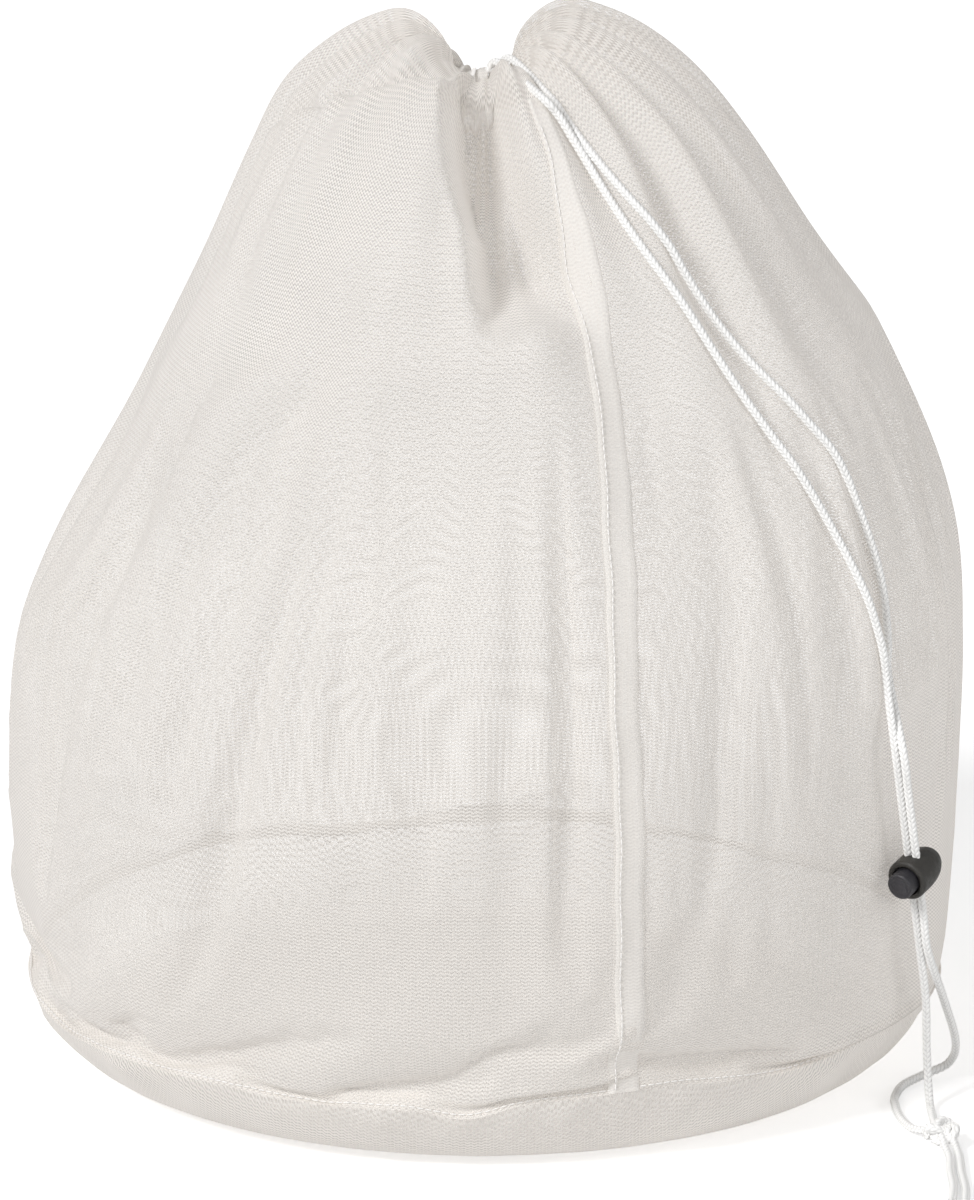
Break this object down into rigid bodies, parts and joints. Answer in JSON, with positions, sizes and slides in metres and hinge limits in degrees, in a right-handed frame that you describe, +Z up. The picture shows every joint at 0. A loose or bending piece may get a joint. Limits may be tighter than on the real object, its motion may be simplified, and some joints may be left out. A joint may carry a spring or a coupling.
{
  "type": "mesh laundry bag",
  "caption": "Drum-shaped mesh laundry bag with a round base, a side seam and a gathered mouth closed by a braided drawcord with a sliding barrel cord lock.",
  "frame": {"origin": "centre of the round base panel, on the floor", "axes": "+Z up, -Y the front, +X to the right of a person facing the front; the side seam is 16 degrees right of the front"},
  "size_m": [0.4164, 0.4392, 0.4619],
  "materials": {
    "mesh_fabric": "matte",
    "seam_fabric": "matte",
    "sewing_thread": "satin",
    "braided_cord": "matte",
    "lock_plastic": "satin",
    "button_plastic": "satin",
    "spring_steel": "satin"
  },
  "bodies": {
    "bag": {"base_panel": "mesh_fabric", "base_seam_allowance": "seam_fabric", "base_seam_thread": "sewing_thread", "wall": "mesh_fabric", "side_seam_band": "seam_fabric", "side_seam_thread": "sewing_thread"},
    "mouth": {"hem_channel": "seam_fabric", "hem_thread": "sewing_thread", "exit_bartack_left": "sewing_thread", "exit_bartack_right": "sewing_thread", "cord_loop": "braided_cord"},
    "cord_run": {"cord_run_front": "braided_cord", "cord_run_back": "braided_cord"},
    "lock": {"lock_barrel": "lock_plastic", "lock_spring": "spring_steel"},
    "button": {"lock_button": "button_plastic"},
    "tail": {"cord_tail_front": "braided_cord", "cord_tail_back": "braided_cord", "cord_knot": "braided_cord", "cord_end_front": "braided_cord", "cord_end_back": "braided_cord"}
  },
  "joints": [
    {"name": "mouth_sink", "type": "slide", "parent": "bag", "child": "mouth", "axis": [0, 0, -1], "range_m": [0, 0.1664], "deforming": ["wall", "side_seam_band", "side_seam_thread", "base_seam_allowance", "base_seam_thread", "base_panel"]},
    {"name": "cord_drop", "type": "slide", "parent": "bag", "child": "cord_run", "axis": [0, 0, -1], "range_m": [0, 0.04196], "deforming": ["cord_run_front", "cord_run_back"]},
    {"name": "lock_slide", "type": "slide", "parent": "cord_run", "child": "lock", "axis": [-0.1219, -0.1834, 0.9755], "range_m": [-0.025, 0.045]},
    {"name": "button_press", "type": "slide", "parent": "lock", "child": "button", "axis": [0.5127, 0.8299, 0.2201], "range_m": [0, 0.004], "stiffness_N_per_m": 80, "springref_m": -0.004, "deforming": ["lock_spring"]},
    {"name": "tail_swing", "type": "hinge", "parent": "bag", "child": "tail", "pos_m": [0.1855, -0.109, 0.0021], "axis": [0, 0, 1], "range_deg": [-20, 20], "deforming": ["cord_tail_front", "cord_tail_back"]}
  ],
  "couplings": [
    {"joint": "cord_drop", "follows": "mouth_sink", "ratio": 0.25097}
  ]
}
